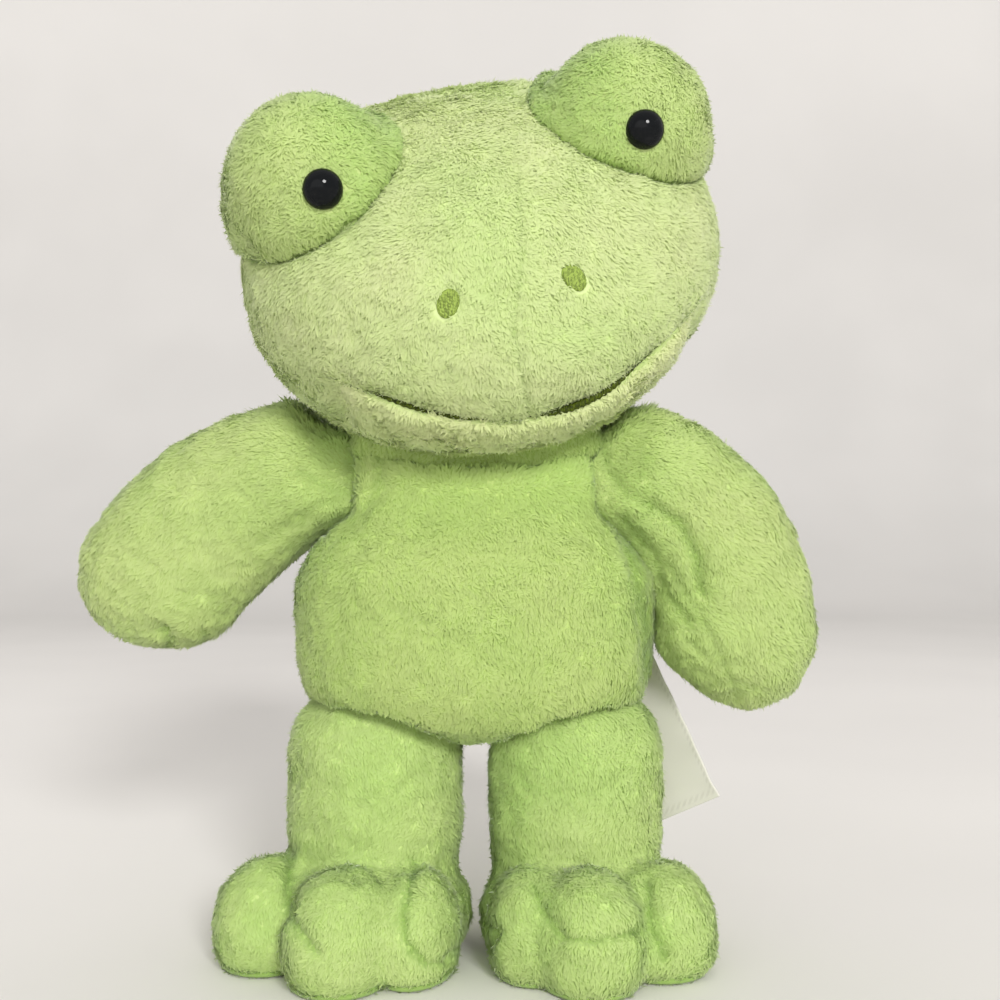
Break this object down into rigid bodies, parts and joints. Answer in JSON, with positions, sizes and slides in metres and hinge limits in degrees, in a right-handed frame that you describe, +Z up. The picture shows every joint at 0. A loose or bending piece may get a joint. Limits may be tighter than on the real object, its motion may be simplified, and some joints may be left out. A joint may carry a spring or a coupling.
{
  "type": "stuffed plush frog",
  "caption": "Light green stuffed frog with a wide head, round eye mounds, mitten arms and short legs on broad toed feet; head, arms and legs move on soft joints.",
  "frame": {"origin": "on the ground, under the middle of the toy's bounding box", "axes": "+Z is up, the toy faces -Y, and +X is the toy's own left side"},
  "size_m": [0.3326, 0.1466, 0.3934],
  "materials": {
    "head_plush": "short soft plush, pale green",
    "mound_plush": "short soft plush, a slightly deeper green",
    "body_plush": "short soft plush, light green",
    "arm_plush": "short soft plush, light green",
    "leg_plush": "short soft plush, light green",
    "sole_plush": "short plush, pressed flat",
    "fibre_filling": "loose white polyester fibre",
    "embroidery_thread": "satin embroidery thread, olive",
    "eye_plastic": "polished black",
    "washer_plastic": "moulded, white",
    "label_cloth": "woven white tape, bare"
  },
  "bodies": {
    "body": {"body_cover": "body_plush", "body_filling": "fibre_filling", "closing_seam": "embroidery_thread"},
    "neck": {"neck": "body_plush"},
    "head": {"head_cover": "head_plush", "jaw_panel": "head_plush", "head_filling": "fibre_filling", "mouth_thread": "embroidery_thread", "eye_mound_left": "mound_plush", "eye_mound_right": "mound_plush", "eye_left": "eye_plastic", "eye_right": "eye_plastic", "eye_washer_left": "washer_plastic", "eye_washer_right": "washer_plastic", "nostril_left": "embroidery_thread", "nostril_right": "embroidery_thread"},
    "arm_left": {"arm_cover_left": "arm_plush", "arm_filling_left": "fibre_filling"},
    "arm_right": {"arm_cover_right": "arm_plush", "arm_filling_right": "fibre_filling"},
    "leg_left": {"leg_cover_left": "leg_plush", "leg_filling_left": "fibre_filling", "sole_left": "sole_plush"},
    "leg_right": {"leg_cover_right": "leg_plush", "leg_filling_right": "fibre_filling", "sole_right": "sole_plush"},
    "label": {"care_label": "label_cloth"}
  },
  "joints": [
    {"name": "head_turn", "type": "hinge", "parent": "body", "child": "neck", "pos_m": [0.01257, 0.02209, 0.221], "axis": [0, 0, 1], "range_deg": [-12, 12]},
    {"name": "head_nod", "type": "hinge", "parent": "neck", "child": "head", "pos_m": [0.01257, 0.02209, 0.221], "axis": [1, 0, 0], "range_deg": [-6, 8]},
    {"name": "arm_left_swing", "type": "hinge", "parent": "body", "child": "arm_left", "pos_m": [0.07257, 0.02209, 0.218], "axis": [-1, 0, 0], "range_deg": [-30, 60]},
    {"name": "arm_right_swing", "type": "hinge", "parent": "body", "child": "arm_right", "pos_m": [-0.04743, 0.02209, 0.218], "axis": [-1, 0, 0], "range_deg": [-30, 60]},
    {"name": "leg_left_swing", "type": "hinge", "parent": "body", "child": "leg_left", "pos_m": [0.05757, 0.01609, 0.086], "axis": [-1, 0, 0], "range_deg": [-10, 70]},
    {"name": "leg_right_swing", "type": "hinge", "parent": "body", "child": "leg_right", "pos_m": [-0.03243, 0.01609, 0.086], "axis": [-1, 0, 0], "range_deg": [-10, 70]},
    {"name": "label_swing", "type": "hinge", "parent": "body", "child": "label", "pos_m": [0.08057, 0.05069, 0.118], "axis": [0.7716, -0.4455, 0.454], "range_deg": [0, 75]}
  ]
}
